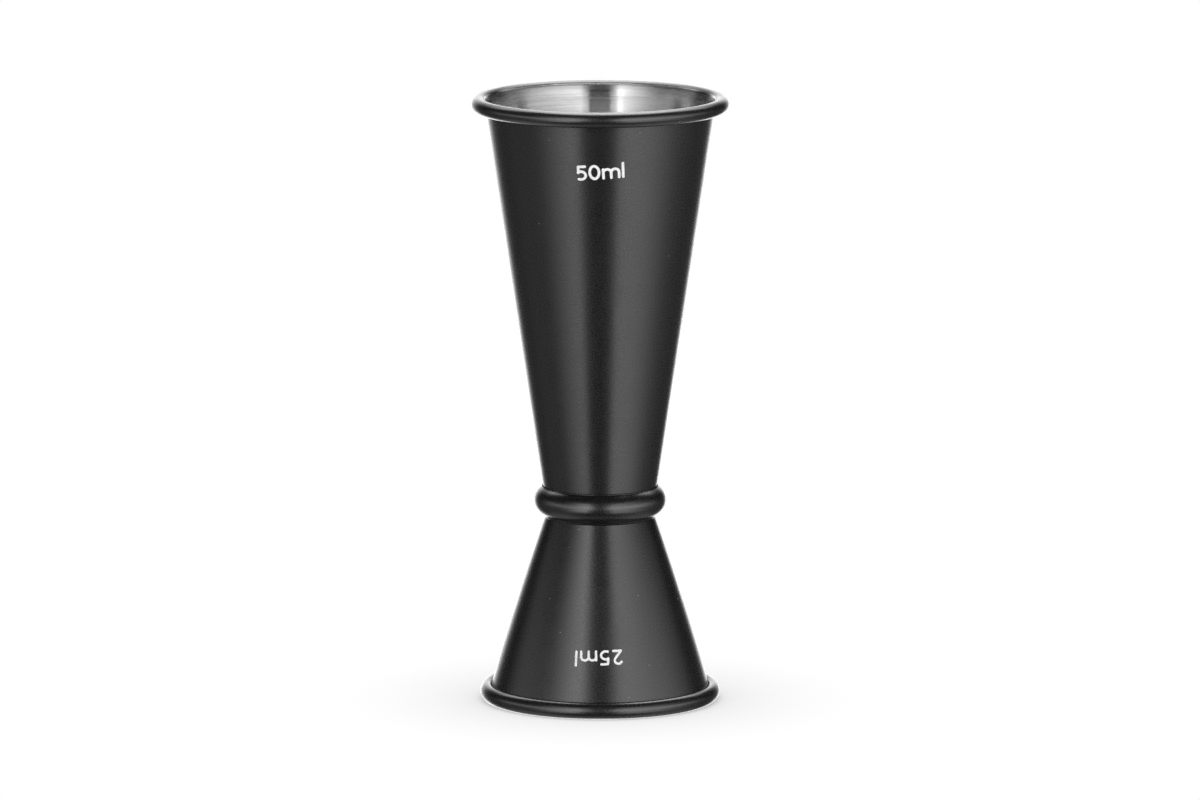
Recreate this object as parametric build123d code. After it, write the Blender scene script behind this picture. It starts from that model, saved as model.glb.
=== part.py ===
from build123d import *
import os
from math import cos, radians, sin, tan

# A double-ended bar measure. Units are millimetres. The origin is the centre of the circle that the small
# cup's mouth stands on, and +Z runs up the axis to the large cup's mouth. Each cup is one spun shell of
# sheet, with a flat floor and a bead rolled outward round its mouth. The floors are spot welded back to
# back, and a hollow rounded collar covers the waist between the two tapers.

# ---- driving dimensions -------------------------------------------------------------------------------
total_height = 112.0
joint_height = 37.2             # the plane where the two floors meet
sheet = 0.5                     # thickness of both cups and of the collar
ground_depth = 0.03             # taken off each bead's crown, so that it stands on a flat land

# A bend's radius is that of the middle of the sheet. A taper is an angle from the axis. A heel's reach is
# the radius where the middles of the floor and the wall would cross.
large_heel_reach = 9.91
large_heel_bend = 1.25
large_taper = 8.53
large_flare_bend = 11.5         # the wall opens a little just under the bead
large_flare_taper = 20.0
large_bead_bend = 1.15          # the bead is round
large_bead_return = 55.0        # its last turn, from its underside in to the wall

small_heel_reach = 8.855
small_heel_bend = 1.25
small_taper_at_waist = 19.2     # the wall is slightly bowed
small_taper_at_mouth = 16.0
small_neck_bend = 4.0           # the wall straightens just before the bead
small_bead_bend = 0.75          # the bead is oval: tight over the mouth and at its return,
small_bead_side_bend = 1.53     # and fuller round its side
small_bead_side_turn = 90.0
small_bead_return = 50.0

collar_height = 37.18           # middle of the collar
collar_reach = 12.13            # its outermost radius
collar_section_radius = 2.95    # outer radius of its C-shaped section

weld_count = 3
weld_ring_radius = 4.4
weld_radius = 1.6
weld_depth = 0.2                # how far each nugget reaches into each floor
mark_radius = 2.2               # the shallow dimple that the electrode leaves inside each cup
mark_depth = 0.05

half_sheet = sheet / 2


# ---- bent sheet ---------------------------------------------------------------------------------------
# Sections are drawn with X as the radius and Y as the height. A sheet's path starts at the axis, runs
# along the floor and turns up the wall: a list of (length, turn). A turn of 0 is a straight run of that
# length, and any other is a bend with that radius, positive to the left.

def face_edges(start, path, shift):
    """The edges of one face of a sheet, which lies shift to the left of the sheet's middle."""
    point = Vector(start.X, start.Y + shift)
    direction = Vector(1, 0)
    edges = []
    for length, turn in path:
        if turn == 0:
            edge = Line(point, point + direction * length)
        elif turn > 0:
            edge = JernArc(point, direction, length - shift, turn)
        else:
            edge = JernArc(point, direction, length + shift, turn)
        edges.append(edge)
        point = edge @ 1
        direction = edge % 1
    return edges


def sheet_section(start, path):
    """The closed section of a sheet that follows a path."""
    inner = face_edges(start, path, half_sheet)
    outer = face_edges(start, path, -half_sheet)
    first_end = Line(inner[0] @ 0, outer[0] @ 0)
    last_end = Line(inner[-1] @ 1, outer[-1] @ 1)
    return make_face(inner + outer + [first_end, last_end])


def core_section(start, path):
    """All that a cup's floor, heel and wall enclose, the sheet included."""
    outer = face_edges(start, path[:3], -half_sheet)
    top = outer[-1] @ 1
    lid = Line(top, (0, top.Y))
    axis = Line((0, top.Y), outer[0] @ 0)
    return make_face(outer + [lid, axis])


def ground_flat(section, mouth_height):
    """A section whose bead has lost its crown at the mouth's plane, which leaves a narrow land."""
    crown = Pos(0, mouth_height) * Rectangle(4 * total_height, sheet, align=(Align.CENTER, Align.MIN))
    return section - crown


def floor_run(reach, bend, taper):
    """The floor's flat radius: the heel's reach less the length that its bend takes up."""
    return reach - bend * tan(radians(90 - taper) / 2)


# ---- large cup, drawn where it stands -----------------------------------------------------------------
large_start = Vector(0, joint_height + half_sheet)


def large_path():
    """The large cup's path, with its wall as long as the total height needs."""
    taper = radians(large_taper)
    flare = radians(large_flare_taper)
    crown_height = total_height + ground_depth - half_sheet
    heel_rise = large_heel_bend * (1 - sin(taper))
    flare_rise = large_flare_bend * (sin(flare) - sin(taper))
    bead_rise = large_bead_bend * (1 - sin(flare))
    wall_rise = crown_height - large_start.Y - heel_rise - flare_rise - bead_rise
    return [
        (floor_run(large_heel_reach, large_heel_bend, large_taper), 0),
        (large_heel_bend, 90 - large_taper),
        (wall_rise / cos(taper), 0),
        (large_flare_bend, large_taper - large_flare_taper),
        (large_bead_bend, large_flare_taper - 90),
        (large_bead_bend, -180 - large_bead_return),
    ]


# ---- small cup, drawn mouth up from its floor and then turned over --------------------------------------
small_start = Vector(0, half_sheet)


def small_path():
    """The small cup's path, with its wall as long as the joint's height needs."""
    taper_at_waist = radians(small_taper_at_waist)
    taper_at_mouth = radians(small_taper_at_mouth)
    crown_height = joint_height + ground_depth - half_sheet
    heel_rise = small_heel_bend * (1 - sin(taper_at_waist))
    neck_rise = small_neck_bend * sin(taper_at_mouth)
    wall_rise = crown_height - small_start.Y - heel_rise - neck_rise - small_bead_bend
    wall_bow = wall_rise / (sin(taper_at_waist) - sin(taper_at_mouth))
    return [
        (floor_run(small_heel_reach, small_heel_bend, small_taper_at_waist), 0),
        (small_heel_bend, 90 - small_taper_at_waist),
        (wall_bow, small_taper_at_waist - small_taper_at_mouth),
        (small_neck_bend, small_taper_at_mouth),
        (small_bead_bend, -90),
        (small_bead_bend, small_bead_side_turn / 2 - 90),
        (small_bead_side_bend, -small_bead_side_turn),
        (small_bead_bend, small_bead_side_turn / 2 - 90 - small_bead_return),
    ]


def turned_over(section):
    """A section drawn mouth up from its floor, turned over to hang from the joint's plane."""
    return Pos(0, joint_height) * mirror(section, about=Plane.XZ)


# ---- solids ---------------------------------------------------------------------------------------------

def spin(section):
    """Turn a section about the upright axis."""
    return revolve(Plane.XZ * section, Axis.Z, 360)


def at_welds(solid, height):
    """A copy of a solid at each weld, with its origin at the given height."""
    return [Pos(0, 0, height) * place * solid for place in PolarLocations(weld_ring_radius, weld_count)]


def weld_nuggets():
    """The round nuggets that spot welding leaves, half in each floor."""
    return at_welds(Cylinder(weld_radius, 2 * weld_depth), joint_height)


def electrode_marks(height, up):
    """Lenses that cut a shallow dimple into a floor's inner face, which looks up (1) or down (-1)."""
    ball_radius = (mark_radius**2 + mark_depth**2) / (2 * mark_depth)
    ball = Pos(0, 0, up * (ball_radius - mark_depth)) * Sphere(ball_radius)
    lens = ball & Cylinder(mark_radius, 2 * sheet)
    return at_welds(lens, height)


def large_cup():
    """The large cup, mouth up."""
    section = ground_flat(sheet_section(large_start, large_path()), total_height)
    return spin(section) - weld_nuggets() - electrode_marks(joint_height + sheet, 1)


def small_cup():
    """The small cup, mouth down, which is also the foot."""
    section = turned_over(ground_flat(sheet_section(small_start, small_path()), joint_height))
    return spin(section) - weld_nuggets() - electrode_marks(joint_height - sheet, -1)


def waist_collar():
    """The hollow rounded band round the waist, its two edges dressed to the tapers that trap it."""
    ring = Circle(collar_section_radius) - Circle(collar_section_radius - sheet)
    placed_ring = Pos(collar_reach - collar_section_radius, collar_height) * ring
    large_core = core_section(large_start, large_path())
    small_core = turned_over(core_section(small_start, small_path()))
    return spin(placed_ring - large_core - small_core)


parts = {
    "large_cup": large_cup(),
    "small_cup": small_cup(),
    "waist_collar": waist_collar(),
    "floor_spot_welds": Compound(weld_nuggets()),
}

os.makedirs("parts", exist_ok=True)
for name, shape in parts.items():
    export_step(shape, f"parts/{name}.step")
    print(name, "volume", round(shape.volume, 1), "size", shape.bounding_box().size)
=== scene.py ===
from math import cos, pi, radians, sin, tan

import bmesh
import bpy
import numpy as np
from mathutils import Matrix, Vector


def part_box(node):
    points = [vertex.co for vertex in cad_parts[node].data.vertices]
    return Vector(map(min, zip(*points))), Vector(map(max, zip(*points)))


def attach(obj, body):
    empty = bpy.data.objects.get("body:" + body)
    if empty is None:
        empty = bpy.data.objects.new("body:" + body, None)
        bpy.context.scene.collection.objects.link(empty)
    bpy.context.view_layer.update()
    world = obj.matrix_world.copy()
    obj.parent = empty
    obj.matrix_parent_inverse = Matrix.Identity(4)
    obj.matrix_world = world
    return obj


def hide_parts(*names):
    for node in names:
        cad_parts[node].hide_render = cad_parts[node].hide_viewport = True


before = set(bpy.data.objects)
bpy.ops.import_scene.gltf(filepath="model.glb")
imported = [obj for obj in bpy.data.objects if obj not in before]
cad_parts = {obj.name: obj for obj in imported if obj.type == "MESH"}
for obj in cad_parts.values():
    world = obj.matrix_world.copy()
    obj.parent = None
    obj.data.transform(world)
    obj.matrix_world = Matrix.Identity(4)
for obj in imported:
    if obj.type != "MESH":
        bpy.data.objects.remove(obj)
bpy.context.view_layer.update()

# A double-ended bar measure: satin black outside, bare brushed steel inside, with a capacity mark on each
# cup. Lengths are in millimetres and are turned into metres when a mesh is made.
MM = 0.001

# ---- sizes, from the frame and from the CAD's driving dimensions --------------------------------------
TOTAL_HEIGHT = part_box("large_cup")[1].z / MM
JOINT_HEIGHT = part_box("large_cup")[0].z / MM
SHEET = 0.5
HALF_SHEET = SHEET / 2
GROUND_DEPTH = 0.03

# A bend's radius is that of the middle of the sheet, and a taper is an angle from the axis, in degrees.
LARGE = {
    "heel_reach": 9.91, "heel_bend": 1.25, "taper": 8.53,
    "flare_bend": 11.5, "flare_taper": 20.0, "bead_bend": 1.15, "bead_return": 55.0,
}
SMALL = {
    "heel_reach": 8.855, "heel_bend": 1.25, "taper": 19.2, "mouth_taper": 16.0, "neck_bend": 4.0,
    "bead_bend": 0.75, "side_bend": 1.53, "side_turn": 90.0, "bead_return": 50.0,
}
COLLAR_HEIGHT = 37.18
COLLAR_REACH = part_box("waist_collar")[1].x / MM
COLLAR_SECTION_RADIUS = 2.95
COLLAR_FILLETS = (0.35, 0.2)    # the paint's fillet under the collar, and the one over it

WELD_COUNT = 3
WELD_RING_RADIUS = 4.4
MARK_RADIUS = 2.2
MARK_DEPTH = 0.05

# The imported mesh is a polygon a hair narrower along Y, and the pieces made here stay inside its box.
ROUND_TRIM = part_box("large_cup")[1].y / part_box("large_cup")[1].x
SEGMENTS = 256              # round the axis
RUN_STEP = 2.5              # the step along a straight wall
FLOOR_STEP = 0.3            # the step along a floor, where the electrode marks are
BEND_STEP = 4.0             # degrees for each step round a tight bend
FLARE_STEP = 1.0            # degrees for each step round a wide bend
BOW_STEP = 0.2              # degrees for each step along the small cup's bowed wall
FILLET_POINTS = 8           # on each of the collar's paint fillets
COLLAR_OUTER_POINTS = 44
COLLAR_INNER_POINTS = 32
AXIS_REACH = 1e-6           # a point of a section this near the axis is on it
LEVEL_REACH = 1e-3          # a vertex this near a floor's height is on it
PAINT_EDGE = 46.0           # how far inside the bead's crown the paint stops, in degrees of the bead
PAINT_WOBBLE = 2.5          # how far the paint's edge wanders, in degrees of the bead


# ---- bent sheet ---------------------------------------------------------------------------------------

def direction(heading):
    """A unit vector at a heading in degrees."""
    return np.array([cos(radians(heading)), sin(radians(heading))])


def face_points(start, path, shift):
    """Points along one face of a bent sheet, shift to the left of its middle, with the run each is on."""
    heading = 0.0
    point = np.array(start) + direction(90) * shift
    points = [point]
    runs = [0]
    for run, (length, turn, step) in enumerate(path):
        if turn == 0:
            count = max(1, round(length / step))
            steps = [point + direction(heading) * length * i / count for i in range(1, count + 1)]
        else:
            side = 1 if turn > 0 else -1
            radius = length - side * shift
            centre = point + direction(heading + side * 90) * radius
            count = max(2, round(abs(turn) / step))
            angles = [heading - side * 90 + turn * i / count for i in range(1, count + 1)]
            steps = [centre + direction(angle) * radius for angle in angles]
        points += steps
        runs += [run] * len(steps)
        point = steps[-1]
        heading += turn
    return np.array(points), np.array(runs)


def floor_run(size):
    """The floor's flat radius: the heel's reach less what its bend takes up."""
    return size["heel_reach"] - size["heel_bend"] * tan(radians(90 - size["taper"]) / 2)


def large_path():
    """Runs and bends of the large cup from the axis outward, each as (length or radius, turn, step)."""
    taper = radians(LARGE["taper"])
    flare = radians(LARGE["flare_taper"])
    heel_rise = LARGE["heel_bend"] * (1 - sin(taper))
    flare_rise = LARGE["flare_bend"] * (sin(flare) - sin(taper))
    bead_rise = LARGE["bead_bend"] * (1 - sin(flare))
    depth = TOTAL_HEIGHT + GROUND_DEPTH - JOINT_HEIGHT - SHEET
    wall = (depth - heel_rise - flare_rise - bead_rise) / cos(taper)
    to_paint = 90 - LARGE["flare_taper"] - PAINT_EDGE
    return [
        (floor_run(LARGE), 0, FLOOR_STEP),
        (LARGE["heel_bend"], 90 - LARGE["taper"], BEND_STEP),
        (wall, 0, RUN_STEP),
        (LARGE["flare_bend"], LARGE["taper"] - LARGE["flare_taper"], FLARE_STEP),
        (LARGE["bead_bend"], -to_paint, BEND_STEP),
        (LARGE["bead_bend"], -PAINT_EDGE, BEND_STEP),
        (LARGE["bead_bend"], -180 - LARGE["bead_return"], BEND_STEP),
    ]


def small_path():
    """Runs and bends of the small cup from the axis outward, drawn with its mouth up."""
    taper = radians(SMALL["taper"])
    mouth_taper = radians(SMALL["mouth_taper"])
    heel_rise = SMALL["heel_bend"] * (1 - sin(taper))
    neck_rise = SMALL["neck_bend"] * sin(mouth_taper)
    depth = JOINT_HEIGHT + GROUND_DEPTH - SHEET
    wall_rise = depth - heel_rise - neck_rise - SMALL["bead_bend"]
    wall_bow = wall_rise / (sin(taper) - sin(mouth_taper))
    half_side = SMALL["side_turn"] / 2
    return [
        (floor_run(SMALL), 0, FLOOR_STEP),
        (SMALL["heel_bend"], 90 - SMALL["taper"], BEND_STEP),
        (wall_bow, SMALL["taper"] - SMALL["mouth_taper"], BOW_STEP),
        (SMALL["neck_bend"], SMALL["mouth_taper"], FLARE_STEP),
        (SMALL["bead_bend"], PAINT_EDGE - 90, BEND_STEP),
        (SMALL["bead_bend"], -PAINT_EDGE, BEND_STEP),
        (SMALL["bead_bend"], half_side - 90, BEND_STEP),
        (SMALL["side_bend"], -SMALL["side_turn"], BEND_STEP),
        (SMALL["bead_bend"], half_side - 90 - SMALL["bead_return"], BEND_STEP),
    ]


FIRST_PAINTED_RUN = 5       # on the inner face of both paths: the run after the paint's edge


# ---- meshes -------------------------------------------------------------------------------------------

def new_piece(name, vertices, faces, materials, face_materials):
    """A mesh object from points in millimetres, with every face turned outward."""
    mesh = bpy.data.meshes.new(name)
    mesh.from_pydata([tuple(np.asarray(v) * MM) for v in vertices], [], faces)
    for material in materials:
        mesh.materials.append(material)
    mesh.polygons.foreach_set("material_index", face_materials)
    work = bmesh.new()
    work.from_mesh(mesh)
    bmesh.ops.recalc_face_normals(work, faces=work.faces)
    if work.calc_volume(signed=True) < 0:
        bmesh.ops.reverse_faces(work, faces=work.faces)
    work.to_mesh(mesh)
    work.free()
    mesh.shade_smooth()
    mesh.update()
    piece = bpy.data.objects.new(name, mesh)
    bpy.context.scene.collection.objects.link(piece)
    return piece


WOBBLE_WAVES = [(3, 0.35, 0.4), (7, 0.25, 1.9), (16, 0.2, 4.1), (41, 0.12, 0.8), (67, 0.08, 2.6)]


def wobble(angle):
    """How the paint's edge wanders round the mouth, from -1 to 1: waves of (count, size, phase)."""
    return sum(size * sin(count * angle + phase) for count, size, phase in WOBBLE_WAVES)


def spin(name, section, materials, strip_materials, wander=None):
    """Turns a closed section about the axis. Points on the axis become one vertex each.

    strip_materials has one index for each side of the section. wander maps a point's number to the step
    in the section that it takes for a full wobble.
    """
    wander = wander or {}
    angles = [2 * pi * i / SEGMENTS for i in range(SEGMENTS)]
    vertices = []
    rings = []
    for number, (radius, height) in enumerate(section):
        first = len(vertices)
        if radius < AXIS_REACH:
            vertices.append((0, 0, height))
            rings.append([first] * SEGMENTS)
            continue
        for angle in angles:
            shift = wander.get(number, np.zeros(2)) * wobble(angle)
            r = (radius + shift[0]) * ROUND_TRIM
            vertices.append((r * sin(angle), -r * cos(angle), height + shift[1]))
        rings.append(list(range(first, first + SEGMENTS)))
    faces = []
    face_materials = []
    for strip, material in enumerate(strip_materials):
        lower = rings[strip]
        upper = rings[(strip + 1) % len(rings)]
        if len(set(lower)) == 1 and len(set(upper)) == 1:
            continue
        for i in range(SEGMENTS):
            j = (i + 1) % SEGMENTS
            corners = [lower[i], lower[j], upper[j], upper[i]]
            faces.append(list(dict.fromkeys(corners)))
            face_materials.append(material)
    return new_piece(name, vertices, faces, materials, face_materials)


def cup_section(start, path, crown_height):
    """A cup's closed section, mouth up, with 1 for each side that is painted, and the paint's edge."""
    inner, inner_runs = face_points(start, path, HALF_SHEET)
    outer, outer_runs = face_points(start, path, -HALF_SHEET)
    section = np.concatenate([inner, outer[::-1]])
    section[:, 1] = np.minimum(section[:, 1], crown_height)
    inner_painted = inner_runs[1:] >= FIRST_PAINTED_RUN
    outer_painted = outer_runs[1:][::-1] > 0
    painted = np.concatenate([inner_painted, [True], outer_painted, [False]])
    edge = int(np.argmax(inner_runs >= FIRST_PAINTED_RUN)) - 1
    return section, painted.astype(int), edge


def press_electrode_marks(piece, floor_height, up):
    """Dents a floor's inner face at each weld, towards the joint."""
    places = [2 * pi * i / WELD_COUNT for i in range(WELD_COUNT)]
    for vertex in piece.data.vertices:
        x, y, z = vertex.co / MM
        if abs(z - floor_height) > LEVEL_REACH:
            continue
        for place in places:
            away = np.hypot(x - WELD_RING_RADIUS * cos(place), y - WELD_RING_RADIUS * sin(place))
            dent = MARK_DEPTH * max(0.0, 1 - (away / MARK_RADIUS) ** 2)
            vertex.co.z -= up * dent * MM


def bead_wander(section, edge):
    """The step along the section that the paint's edge takes for a full wobble."""
    along = section[edge + 1] - section[edge - 1]
    return along / np.linalg.norm(along) * LARGE["bead_bend"] * radians(PAINT_WOBBLE)


def make_large_cup(materials):
    start = (0, JOINT_HEIGHT + HALF_SHEET)
    section, painted, edge = cup_section(start, large_path(), TOTAL_HEIGHT)
    piece = spin("large_cup_shell", section, materials, painted, {edge: bead_wander(section, edge)})
    press_electrode_marks(piece, JOINT_HEIGHT + SHEET, 1)
    return piece, section


def make_small_cup(materials):
    section, painted, edge = cup_section((0, HALF_SHEET), small_path(), JOINT_HEIGHT)
    section[:, 1] = JOINT_HEIGHT - section[:, 1]
    piece = spin("small_cup_shell", section, materials, painted, {edge: bead_wander(section, edge)})
    press_electrode_marks(piece, JOINT_HEIGHT - SHEET, -1)
    return piece, section


WALL_START = 1.5            # a cup's plain wall, by its distance from the joint's plane
WALL_STOP = 70.0


def outer_radius(section, height):
    """The radius of a cup's outside at a height between its heel and its bead."""
    outer = section[len(section) // 2:]
    from_joint = abs(outer[:, 1] - JOINT_HEIGHT)
    wall = outer[(from_joint > WALL_START) & (from_joint < WALL_STOP)]
    upward = wall[np.argsort(wall[:, 1])]
    return float(np.interp(height, upward[:, 1], upward[:, 0]))


def arc_points(centre, radius, first, last, count):
    """Points of a section along an arc, between two angles in degrees."""
    return [centre + direction(angle) * radius for angle in np.linspace(first, last, count)]


ANGLE_STEP = 0.05           # how finely a fillet's start is looked for, in degrees


def fillet_angle(centre, radius, fillet, wall_radius, taper, up):
    """Where on a circle a fillet to the wall starts, above (1) or below (-1) its outermost point."""
    angles = up * np.arange(0, 90, ANGLE_STEP)
    gaps = []
    for angle in angles:
        r, z = centre + direction(angle) * (radius + fillet)
        gaps.append((r - wall_radius(z)) * cos(radians(taper)) - fillet)
    return angles[int(np.argmax(np.array(gaps) < 0))]


def make_collar(material, large_section, small_section):
    """The hollow band's C-shaped section, with the small fillets that paint leaves along both its edges."""
    def wall_radius(height):
        if height > JOINT_HEIGHT:
            return outer_radius(large_section, height)
        return outer_radius(small_section, height)

    centre = np.array([COLLAR_REACH - COLLAR_SECTION_RADIUS, COLLAR_HEIGHT])
    lower, upper = COLLAR_FILLETS
    low_taper = SMALL["taper"]
    high_taper = LARGE["taper"]
    low = fillet_angle(centre, COLLAR_SECTION_RADIUS, lower, wall_radius, low_taper, -1)
    high = fillet_angle(centre, COLLAR_SECTION_RADIUS, upper, wall_radius, high_taper, 1)
    inner_radius = COLLAR_SECTION_RADIUS - SHEET
    inner_low = fillet_angle(centre, inner_radius, 0, wall_radius, low_taper, -1)
    inner_high = fillet_angle(centre, inner_radius, 0, wall_radius, high_taper, 1)
    low_fillet = centre + direction(low) * (COLLAR_SECTION_RADIUS + lower)
    high_fillet = centre + direction(high) * (COLLAR_SECTION_RADIUS + upper)
    section = np.array(
        arc_points(low_fillet, lower, 180 + low_taper, 180 + low, FILLET_POINTS)[:-1]
        + arc_points(centre, COLLAR_SECTION_RADIUS, low, high, COLLAR_OUTER_POINTS)
        + arc_points(high_fillet, upper, 180 + high, 180 - high_taper, FILLET_POINTS)[1:]
        + arc_points(centre, inner_radius, inner_high, inner_low, COLLAR_INNER_POINTS)
    )
    return spin("waist_collar_band", section, [material], [0] * len(section))


# ---- capacity marks -----------------------------------------------------------------------------------
# Plain stroke figures of this script's own, as a measuring glass has. x is to the right and y is up. Each
# glyph gives its strokes and its width.
MARK_STEP = 0.05            # the grid that a mark is cut out of
MARK_PROUD = 0.012          # how far a mark stands out of the paint, and how deep it is rooted
MARK_ROOT = 0.02
GLYPH_MIDDLE = 1.43         # half a figure's height
FAR_AWAY = 1e9


def arc(cx, cy, rx, ry, first, last, count=14):
    """Part of an ellipse as a stroke, between two angles in degrees."""
    angles = np.radians(np.linspace(first, last, count))
    return [(cx + rx * cos(a), cy + ry * sin(a)) for a in angles]


def two():
    return [arc(0.87, 1.98, 0.62, 0.65, 150, -22) + [(0.27, 0.24), (1.66, 0.24)]], 1.89


def five():
    return [[(1.48, 2.62), (0.38, 2.62), (0.30, 1.52)] + arc(0.70, 0.98, 0.82, 0.74, 108, -118)], 1.75


def nought():
    return [arc(1.01, 1.43, 0.77, 1.19, 0, 360, 40)], 2.02


def letter_m():
    first_arch = arc(0.88, 1.22, 0.65, 0.64, 180, 0) + [(1.53, 0.24)]
    second_arch = arc(2.19, 1.22, 0.66, 0.64, 180, 0) + [(2.85, 0.24)]
    return [[(0.23, 0.24), (0.23, 1.86)], first_arch, second_arch], 3.08


def letter_l():
    return [[(0.23, 0.24), (0.23, 2.78)]], 0.46


def lay_out(glyphs, stretch, gap):
    """The strokes of a row of figures, stretched sideways and centred on the origin."""
    strokes = []
    pen = 0.0
    for glyph in glyphs:
        lines, width = glyph()
        strokes += [np.array(line) * (stretch, 1) + (pen, 0) for line in lines]
        pen += width * stretch + gap
    centre = ((pen - gap) / 2, GLYPH_MIDDLE)
    return [line - centre for line in strokes]


def stroke_distance(strokes, stroke, x, y):
    """Distance from each point to the edge of the nearest stroke of that width, negative inside."""
    nearest = np.full(x.shape, FAR_AWAY)
    for line in strokes:
        for (x0, y0), (x1, y1) in zip(line[:-1], line[1:]):
            dx, dy = x1 - x0, y1 - y0
            along = np.clip(((x - x0) * dx + (y - y0) * dy) / (dx * dx + dy * dy), 0, 1)
            nearest = np.minimum(nearest, np.hypot(x - x0 - along * dx, y - y0 - along * dy))
    return nearest - stroke / 2


def filled_outline(strokes, stroke):
    """The strokes as one flat mesh: whole grid cells inside them, and cells cut along their edge."""
    reach_x = max(abs(line[:, 0]).max() for line in strokes) + stroke
    reach_y = max(abs(line[:, 1]).max() for line in strokes) + stroke
    xs = np.arange(-reach_x, reach_x + MARK_STEP, MARK_STEP)
    ys = np.arange(-reach_y, reach_y + MARK_STEP, MARK_STEP)
    grid_x, grid_y = np.meshgrid(xs, ys, indexing="ij")
    depth = stroke_distance(strokes, stroke, grid_x, grid_y)
    points = []
    number = {}

    def corner(i, j):
        if ("c", i, j) not in number:
            number["c", i, j] = len(points)
            points.append((xs[i], ys[j]))
        return number["c", i, j]

    def crossing(a, b):
        key = ("e",) + tuple(sorted([a, b]))
        if key not in number:
            (ia, ja), (ib, jb) = key[1:]
            t = depth[ia, ja] / (depth[ia, ja] - depth[ib, jb])
            number[key] = len(points)
            points.append((xs[ia] + t * (xs[ib] - xs[ia]), ys[ja] + t * (ys[jb] - ys[ja])))
        return number[key]

    cells = []
    for i in range(len(xs) - 1):
        for j in range(len(ys) - 1):
            ring = [(i, j), (i + 1, j), (i + 1, j + 1), (i, j + 1)]
            if min(depth[c] for c in ring) >= 0:
                continue
            cell = []
            for a, b in zip(ring, ring[1:] + ring[:1]):
                if depth[a] < 0:
                    cell.append(corner(*a))
                if (depth[a] < 0) != (depth[b] < 0):
                    cell.append(crossing(a, b))
            cells.append(cell)
    return points, cells


def make_mark(name, glyphs, style, place, section, material):
    """A capacity mark laid on a cup's outside.

    Its style is (stroke, stretch, gap). Its place is (distance round from the front, height, turn in
    degrees).
    """
    stroke, stretch, gap = style
    around, height, turn = place
    flat, cells = filled_outline(lay_out(glyphs, stretch, gap), stroke)
    turn = radians(turn)
    radius_at_mark = outer_radius(section, height)
    slope = (outer_radius(section, height + 1) - outer_radius(section, height - 1)) / 2
    rise = 1 / np.hypot(1, slope)

    def on_cup(x, y, proud):
        across = x * cos(turn) - y * sin(turn)
        up = x * sin(turn) + y * cos(turn)
        z = height + up * rise
        r = outer_radius(section, z) * ROUND_TRIM + proud
        angle = (around + across) / radius_at_mark
        return (r * sin(angle), -r * cos(angle), z)

    top = [on_cup(x, y, MARK_PROUD) for x, y in flat]
    root = [on_cup(x, y, -MARK_ROOT) for x, y in flat]
    count = len(flat)
    edges = {(a, b) for cell in cells for a, b in zip(cell, cell[1:] + cell[:1])}
    rim = [(a, b) for a, b in edges if (b, a) not in edges]
    faces = list(cells)
    faces += [[i + count for i in reversed(cell)] for cell in cells]
    faces += [[b, a, a + count, b + count] for a, b in sorted(rim)]
    return new_piece(name, top + root, faces, [material], [0] * len(faces))


# ---- materials ----------------------------------------------------------------------------------------
# Noise scales are in cycles per millimetre. A noise mostly lies between NOISE_LOW and NOISE_HIGH.
NOISE_LOW = 0.3
NOISE_HIGH = 0.7

PAINT_GREY = 0.013
PAINT_ROUGHNESS = 0.28
PAINT_SPECULAR = 0.75
PAINT_IOR = 1.5
GLOSS_CLOUD = 0.018         # how far the roughness drifts in broad clouds, and from spot to spot
GLOSS_SPOT = 0.03
CLOUD_SCALE = 0.22
SPOT_SCALE = 3.2
PEEL_SCALE = 1.9
PEEL_DEPTH = 0.006
GRAIN_SCALE = 6.0
GRAIN_SHARE = 0.12
DUST_GREY = 0.45
DUST_SCALE = 0.55
DUST_REACH = (0.035, 0.05)  # a speck's radius and its soft edge, in cells
DUST_CHANCE = 0.14          # the share of cells that hold a speck

STEEL_GREY = 0.55
STEEL_ROUGHNESS = 0.26
STEEL_ANISOTROPY = 0.98
ACROSS_THE_TANGENT = 0.25   # a quarter turn of the highlight
LINE_SCALE = 3.2            # brushed lines, and broader bands of them
BAND_SCALE = 0.5
ALONG_SCALE = 0.035         # how slowly either changes along its length
LINE_DEPTH = 0.0012
LINE_DARKEST = 0.86
LINE_ROUGHNESS = 0.05
BAND_ROUGHNESS = 0.04

MARK_GREY = 0.97
MARK_DARKEST = 0.9
MARK_ROUGHNESS = (0.62, 0.78)
PIT_SCALE = 5.0
PIT_DEPTH = 0.004


class Nodes:
    """Short calls for a shader tree."""

    def __init__(self, tree):
        self.tree = tree
        tree.nodes.clear()

    def add(self, kind, inputs=(), **settings):
        node = self.tree.nodes.new(kind)
        for key, value in settings.items():
            setattr(node, key, value)
        for key, value in dict(inputs).items():
            if isinstance(value, bpy.types.NodeSocket):
                self.tree.links.new(value, node.inputs[key])
            else:
                node.inputs[key].default_value = value
        return node

    def math(self, operation, first, second=0.0):
        return self.add("ShaderNodeMath", {0: first, 1: second}, operation=operation).outputs[0]

    def ramp(self, value, low, high, out_low, out_high, smooth=False):
        """A value from low to high, turned into one from out_low to out_high and held past them."""
        kind = "SMOOTHSTEP" if smooth else "LINEAR"
        inputs = {"Value": value, 1: low, 2: high, 3: out_low, 4: out_high}
        return self.add("ShaderNodeMapRange", inputs, interpolation_type=kind).outputs[0]

    def spread(self, noise, out_low, out_high):
        """A noise, turned into a value that mostly lies from out_low to out_high."""
        return self.ramp(noise, NOISE_LOW, NOISE_HIGH, out_low, out_high)

    def noise(self, vector, scale, detail=2.0, roughness=0.5):
        inputs = {"Vector": vector, "Scale": scale, "Detail": detail, "Roughness": roughness}
        return self.add("ShaderNodeTexNoise", inputs).outputs["Fac"]


def grey(level):
    """A neutral colour."""
    return (level, level, level, 1)


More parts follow.
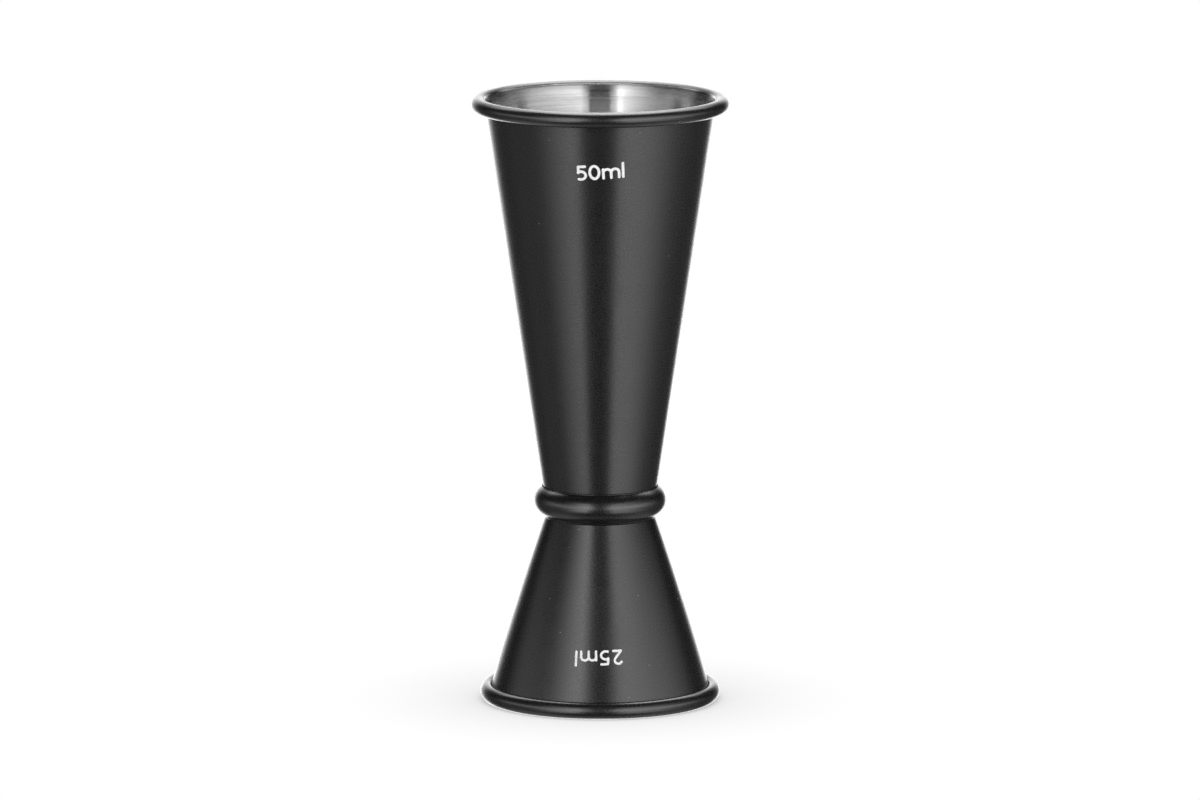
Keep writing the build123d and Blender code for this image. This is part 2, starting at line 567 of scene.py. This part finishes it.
def new_material(name):
    """An empty node material."""
    material = bpy.data.materials.new(name)
    material.use_nodes = True
    return material, Nodes(material.node_tree)


def object_place(nodes):
    """The place on the object in millimetres."""
    place = nodes.add("ShaderNodeTexCoord").outputs["Object"]
    return nodes.add("ShaderNodeVectorMath", {0: place, "Scale": 1 / MM}, operation="SCALE").outputs[0]


def finish_surface(nodes, shader, height, depth):
    """Adds a bump of the given depth in millimetres and the output."""
    bump = nodes.add("ShaderNodeBump", {"Height": height, "Strength": 1.0, "Distance": depth * MM})
    nodes.tree.links.new(bump.outputs[0], shader.inputs["Normal"])
    nodes.add("ShaderNodeOutputMaterial", {"Surface": shader.outputs[0]})


def satin_paint():
    """Black baked enamel: a fine orange peel, slightly uneven gloss and a few specks of dust."""
    material, nodes = new_material("satin_black_paint")
    place = object_place(nodes)
    peel = nodes.noise(place, PEEL_SCALE, 3.0, 0.55)
    grain = nodes.noise(place, GRAIN_SCALE, 2.0, 0.6)
    height = nodes.math("ADD", peel, nodes.math("MULTIPLY", grain, GRAIN_SHARE))
    cloud = nodes.spread(nodes.noise(place, CLOUD_SCALE, 3.0), -GLOSS_CLOUD, GLOSS_CLOUD)
    spots = nodes.spread(nodes.noise(place, SPOT_SCALE, 2.0), -GLOSS_SPOT, GLOSS_SPOT)
    roughness = nodes.math("ADD", nodes.math("ADD", cloud, spots), PAINT_ROUGHNESS)
    cells = nodes.add("ShaderNodeTexVoronoi", {"Vector": place, "Scale": DUST_SCALE, "Randomness": 1.0})
    speck = nodes.ramp(cells.outputs["Distance"], *DUST_REACH, 1.0, 0.0, True)
    chance = nodes.add("ShaderNodeSeparateColor", {"Color": cells.outputs["Color"]}).outputs[0]
    dust = nodes.math("MULTIPLY", speck, nodes.math("GREATER_THAN", chance, 1 - DUST_CHANCE))
    colour = nodes.add("ShaderNodeMix", {"Factor": dust}, data_type="RGBA")
    colour.inputs["A"].default_value = grey(PAINT_GREY)
    colour.inputs["B"].default_value = grey(DUST_GREY)
    inputs = {
        "Base Color": colour.outputs["Result"], "Roughness": roughness,
        "IOR": PAINT_IOR, "Specular IOR Level": PAINT_SPECULAR,
    }
    shader = nodes.add("ShaderNodeBsdfPrincipled", inputs)
    finish_surface(nodes, shader, height, PEEL_DEPTH)
    return material


def brushed_steel():
    """Bare stainless steel, turned on a lathe: fine lines that run round the axis."""
    material, nodes = new_material("brushed_steel")
    place = object_place(nodes)
    parts = nodes.add("ShaderNodeSeparateXYZ", {0: place}).outputs
    flat = nodes.add("ShaderNodeCombineXYZ", {0: parts[0], 1: parts[1]}).outputs[0]
    radius = nodes.add("ShaderNodeVectorMath", {0: flat}, operation="LENGTH").outputs["Value"]
    across = nodes.math("ADD", parts[2], radius)
    along_x = nodes.math("MULTIPLY", parts[0], ALONG_SCALE)
    along_y = nodes.math("MULTIPLY", parts[1], ALONG_SCALE)

    def drawn_out(scale):
        """The place, with its detail drawn out round the axis."""
        inputs = {0: along_x, 1: along_y, 2: nodes.math("MULTIPLY", across, scale)}
        return nodes.add("ShaderNodeCombineXYZ", inputs).outputs[0]

    lines = nodes.noise(drawn_out(LINE_SCALE), 1.0, 4.0, 0.6)
    bands = nodes.noise(drawn_out(BAND_SCALE), 1.0, 3.0, 0.5)
    broad = nodes.spread(bands, STEEL_ROUGHNESS - BAND_ROUGHNESS, STEEL_ROUGHNESS + BAND_ROUGHNESS)
    roughness = nodes.math("ADD", broad, nodes.spread(lines, -LINE_ROUGHNESS, LINE_ROUGHNESS))
    tone = nodes.spread(lines, LINE_DARKEST, 1.0)
    colour = nodes.add("ShaderNodeVectorMath", {0: grey(STEEL_GREY)[:3], "Scale": tone}, operation="SCALE")
    tangent = nodes.add("ShaderNodeTangent", direction_type="RADIAL", axis="Z").outputs[0]
    inputs = {
        "Base Color": colour.outputs[0], "Metallic": 1.0, "Roughness": roughness,
        "Anisotropic": STEEL_ANISOTROPY, "Anisotropic Rotation": ACROSS_THE_TANGENT, "Tangent": tangent,
    }
    shader = nodes.add("ShaderNodeBsdfPrincipled", inputs)
    finish_surface(nodes, shader, lines, LINE_DEPTH)
    return material


def mark_metal():
    """The pale frosted surface that a marking laser leaves."""
    material, nodes = new_material("marked_steel")
    place = object_place(nodes)
    pits = nodes.noise(place, PIT_SCALE, 3.0, 0.6)
    tone = nodes.spread(pits, MARK_DARKEST, 1.0)
    colour = nodes.add("ShaderNodeVectorMath", {0: grey(MARK_GREY)[:3], "Scale": tone}, operation="SCALE")
    roughness = nodes.spread(pits, *MARK_ROUGHNESS)
    inputs = {"Base Color": colour.outputs[0], "Roughness": roughness}
    shader = nodes.add("ShaderNodeBsdfPrincipled", inputs)
    finish_surface(nodes, shader, pits, PIT_DEPTH)
    return material


# ---- the pieces ---------------------------------------------------------------------------------------

paint = satin_paint()
steel = brushed_steel()
etched = mark_metal()

large_cup, large_section = make_large_cup([steel, paint])
small_cup, small_section = make_small_cup([steel, paint])
collar = make_collar(paint, large_section, small_section)

# The small cup's mark is upside down, because that cup is read mouth up. Neither mark is quite straight.
STYLE_50 = (0.5, 1.1, 0.25)
PLACE_50 = (0.08, 100.8, 3.9)
STYLE_25 = (0.43, 1.06, 0.43)
PLACE_25 = (-0.2, 10.8, 181.4)
glyphs_50 = [five, nought, letter_m, letter_l]
glyphs_25 = [two, five, letter_m, letter_l]
mark_50 = make_mark("capacity_mark_50", glyphs_50, STYLE_50, PLACE_50, large_section, etched)
mark_25 = make_mark("capacity_mark_25", glyphs_25, STYLE_25, PLACE_25, small_section, etched)

for piece, node, slot in [
    (large_cup, "large_cup", "black_paint"),
    (small_cup, "small_cup", "black_paint"),
    (collar, "waist_collar", "collar_paint"),
]:
    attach(piece, "root")
    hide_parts(node)
for mark in (mark_50, mark_25):
    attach(mark, "root")

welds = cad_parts["floor_spot_welds"]
welds.data.materials.clear()
welds.data.materials.append(steel)


# ---- floor, light and camera --------------------------------------------------------------------------

FLOOR_REACH = 3000.0
SHADE_REACH = 30.0          # how far the foot's soft shade spreads on the floor
SHADE_DARKEST = 0.35


def make_floor():
    """A plain pale floor, seen from above only, and darker near the foot. It gives the object no light."""
    material, nodes = new_material("floor")
    closeness = nodes.add("ShaderNodeAmbientOcclusion", {"Distance": SHADE_REACH * MM}, samples=16)
    shade = nodes.ramp(closeness.outputs["AO"], 0.0, 1.0, SHADE_DARKEST, 1.0)
    glow = nodes.add("ShaderNodeEmission", {"Strength": shade})
    below = nodes.add("ShaderNodeNewGeometry").outputs["Backfacing"]
    clear = nodes.add("ShaderNodeBsdfTransparent").outputs[0]
    surface = nodes.add("ShaderNodeMixShader", {0: below, 1: glow.outputs[0], 2: clear})
    nodes.add("ShaderNodeOutputMaterial", {"Surface": surface.outputs[0]})
    mesh = bpy.data.meshes.new("floor")
    reach = FLOOR_REACH * MM
    corners = [(-reach, -reach, 0), (reach, -reach, 0), (reach, reach, 0), (-reach, reach, 0)]
    mesh.from_pydata(corners, [], [[0, 1, 2, 3]])
    mesh.materials.append(material)
    floor = bpy.data.objects.new("floor", mesh)
    bpy.context.scene.collection.objects.link(floor)
    floor.visible_diffuse = False
    floor.visible_glossy = False


# The studio, as soft-edged patches of light all round the object. Each has a strength, and for each measure
# that bounds it where it starts and where it stops, as (degrees, width of the soft edge), or None where it
# goes on. The measures are azimuth from the camera's side, positive to the right; azimuth that leans to the
# right as it goes up; azimuth from the front on either side; elevation; and tilt from overhead to the right
# and to the rear.
STUDIO = {
    "key_left": (5.4, {"leaning": [(-30, 88), (-20, 5)], "elevation": [(-26, 8), (35, 8)]}),
    "key_right": (2.2, {"azimuth": [(19, 5), (61, 88)], "elevation": [(-31, 8), (35, 8)]}),
    "strip_left": (2.3, {"azimuth": [(-23, 5), (-11, 2)], "elevation": [(-6, 8), (18, 8)]}),
    "strip_right": (3.0, {"azimuth": [(12, 2), (20, 5)], "elevation": [(-6, 8), (18, 8)]}),
    "wing_right": (1.3, {"azimuth": [(20, 5), (90, 40)], "elevation": [(-2, 6), (14, 6)]}),
    "wing_left": (1.1, {"azimuth": [(-92, 40), (-36, 30)], "elevation": [(-2, 6), (12, 6)]}),
    "wings": (0.4, {"from_front": [(60, 30), (112, 20)], "elevation": [(-4, 6), (12, 6)]}),
    "rear_left": (3.8, {"azimuth": [None, (-158, 30)], "elevation": [(-80, 20), (14, 60)]}),
    "rear_right": (3.8, {"azimuth": [(163, 22), None], "elevation": [(-80, 20), (14, 60)]}),
    "rear_sky": (2.9, {"from_front": [(130, 20), None], "elevation": [(34, 16), None]}),
    "overhead": (3.6, {"tilt_right": [(-16, 10), (22, 12)], "tilt_back": [(1, 10), (50, 20)]}),
    "side_fill": (0.2, {"from_front": [(45, 30), (112, 20)], "elevation": [None, (8, 30)]}),
    "rear_fill": (0.1, {"from_front": [(112, 20), None], "elevation": [None, (0, 16)]}),
    "table_sides": (0.3, {"from_front": [(75, 50), None], "elevation": [None, (-38, 14)]}),
    "table": (0.35, {"elevation": [None, (-57, 25)]}),
}
LEAN = 0.08                 # degrees to the right for each degree up


def make_world():
    """A white surround where the camera sees it, and the studio as the light."""
    world = bpy.data.worlds.new("studio")
    bpy.context.scene.world = world
    world.use_nodes = True
    nodes = Nodes(world.node_tree)
    place = nodes.add("ShaderNodeTexCoord").outputs["Generated"]
    x, y, z = nodes.add("ShaderNodeSeparateXYZ", {0: place}).outputs

    def in_degrees(angle):
        return nodes.math("MULTIPLY", angle, 180 / pi)

    azimuth = in_degrees(nodes.math("ARCTAN2", x, nodes.math("MULTIPLY", y, -1)))
    elevation = in_degrees(nodes.math("ARCSINE", z))
    measures = {
        "azimuth": azimuth,
        "leaning": nodes.math("ADD", azimuth, nodes.math("MULTIPLY", elevation, -LEAN)),
        "from_front": nodes.math("ABSOLUTE", azimuth),
        "elevation": elevation,
        "tilt_right": in_degrees(nodes.math("ARCTAN2", x, z)),
        "tilt_back": in_degrees(nodes.math("ARCTAN2", y, z)),
    }
    light = 0.0
    for strength, bounds in STUDIO.values():
        patch = strength
        for measure, edges in bounds.items():
            for edge, ends in zip(edges, [(0, 1), (1, 0)]):
                if edge is None:
                    continue
                at, soft = edge
                mask = nodes.ramp(measures[measure], at - soft / 2, at + soft / 2, *ends, smooth=True)
                patch = nodes.math("MULTIPLY", mask, patch)
        light = nodes.math("ADD", patch, light)
    seen = nodes.add("ShaderNodeLightPath").outputs["Is Camera Ray"]
    level = nodes.add("ShaderNodeMix", {"Factor": seen, "A": light, "B": 1.0}, data_type="FLOAT")
    glow = nodes.add("ShaderNodeBackground", {"Strength": level.outputs["Result"]})
    glow.inputs["Color"].default_value = grey(1.0)
    nodes.add("ShaderNodeOutputWorld", {"Surface": glow.outputs[0]})


CAMERA_ELEVATION = radians(9.35)
CAMERA_DISTANCE = 1963.5
CAMERA_AIM = (0, 0, 55.7)
CAMERA_LENS = 320.5
CAMERA_SENSOR = 36
CAMERA_REACH = 20000

make_floor()
make_world()

camera = bpy.data.objects.new("camera", bpy.data.cameras.new("camera"))
bpy.context.scene.collection.objects.link(camera)
camera.data.lens = CAMERA_LENS
camera.data.sensor_width = CAMERA_SENSOR
camera.data.clip_end = CAMERA_REACH * MM
back = Vector((0, -cos(CAMERA_ELEVATION), sin(CAMERA_ELEVATION)))
camera.location = (Vector(CAMERA_AIM) + back * CAMERA_DISTANCE) * MM
camera.rotation_euler = (-back).to_track_quat("-Z", "Y").to_euler()
bpy.context.scene.camera = camera
bpy.context.scene.view_settings.view_transform = "Standard"
